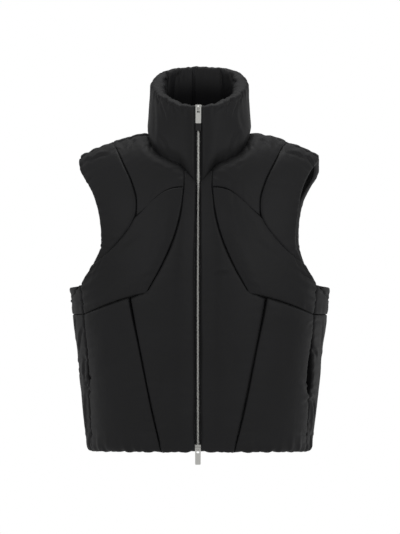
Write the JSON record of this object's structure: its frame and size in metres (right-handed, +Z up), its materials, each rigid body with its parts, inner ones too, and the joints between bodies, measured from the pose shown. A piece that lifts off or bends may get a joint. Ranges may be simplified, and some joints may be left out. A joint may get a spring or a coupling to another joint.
{
  "type": "padded vest",
  "caption": "Black padded sleeveless vest with a tall funnel collar, curved quilted panels, side pockets and a full-length metal zip, hollow and filled out as when worn.",
  "frame": {"origin": "middle of the neck opening, level with the top of the shoulders, where a wearer's neck base would be", "axes": "+Z up, front towards -Y, +X towards the wearer's left"},
  "size_m": [0.4813, 0.2643, 0.7413],
  "materials": {
    "shell": "matt black woven shell cloth with a slight sheen",
    "lining": "matt black lining cloth",
    "zip_tape": "matt black tape",
    "zip_metal": "bright silver metal",
    "pull_end": "black"
  },
  "bodies": {
    "vest": {"front_center_l": "shell", "front_center_r": "shell", "front_yoke_l": "shell", "front_yoke_r": "shell", "front_shoulder_l": "shell", "front_shoulder_r": "shell", "front_chest_l": "shell", "front_chest_r": "shell", "front_side_l": "shell", "front_side_r": "shell", "back_upper": "shell", "back_lower": "shell", "back_shoulder_l": "shell", "back_shoulder_r": "shell", "collar": "shell", "pocket_facing_l": "lining", "pocket_facing_r": "lining", "zip_tape_l": "zip_tape", "zip_tape_r": "zip_tape", "zip_teeth": "zip_metal", "zip_slider_top": "zip_metal", "zip_slider_bottom": "zip_metal"},
    "top_pull": {"zip_pull_top": "zip_metal", "zip_pull_top_end": "pull_end"},
    "bottom_pull": {"zip_pull_bottom": "zip_metal"}
  },
  "joints": [
    {"name": "top_pull_swing", "type": "hinge", "parent": "vest", "child": "top_pull", "pos_m": [0, -0.09246, 0.04086], "axis": [-1, 0, 0], "range_deg": [0, 150]},
    {"name": "bottom_pull_swing", "type": "hinge", "parent": "vest", "child": "bottom_pull", "pos_m": [0, -0.12323, -0.58044], "axis": [-1, 0, 0], "range_deg": [0, 150]}
  ]
}
